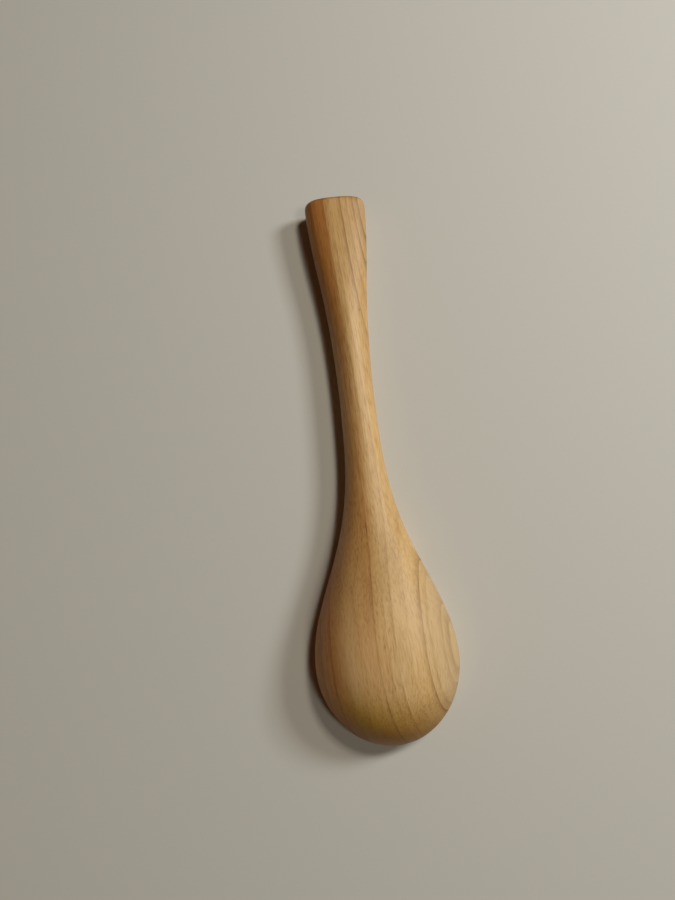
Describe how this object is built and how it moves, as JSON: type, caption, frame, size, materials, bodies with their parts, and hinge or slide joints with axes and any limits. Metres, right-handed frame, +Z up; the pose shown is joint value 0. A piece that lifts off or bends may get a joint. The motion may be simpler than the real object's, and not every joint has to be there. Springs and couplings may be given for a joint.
{
  "type": "wooden spoon",
  "caption": "One-piece carved wooden spoon with a deep egg-shaped bowl, a slim round neck and a handle that flares to a blunt end.",
  "frame": {"origin": "centre of the spoon's box, on the surface that it lies on, face down on its rim", "axes": "+Z up through the bowl's back, +Y along the spoon towards the end of the handle, +X across it"},
  "size_m": [0.0446, 0.18, 0.0215],
  "materials": {
    "wood": "bare pale hardwood, carved and sanded smooth, satin"
  },
  "bodies": {
    "root": {"spoon": "wood"}
  },
  "joints": []
}
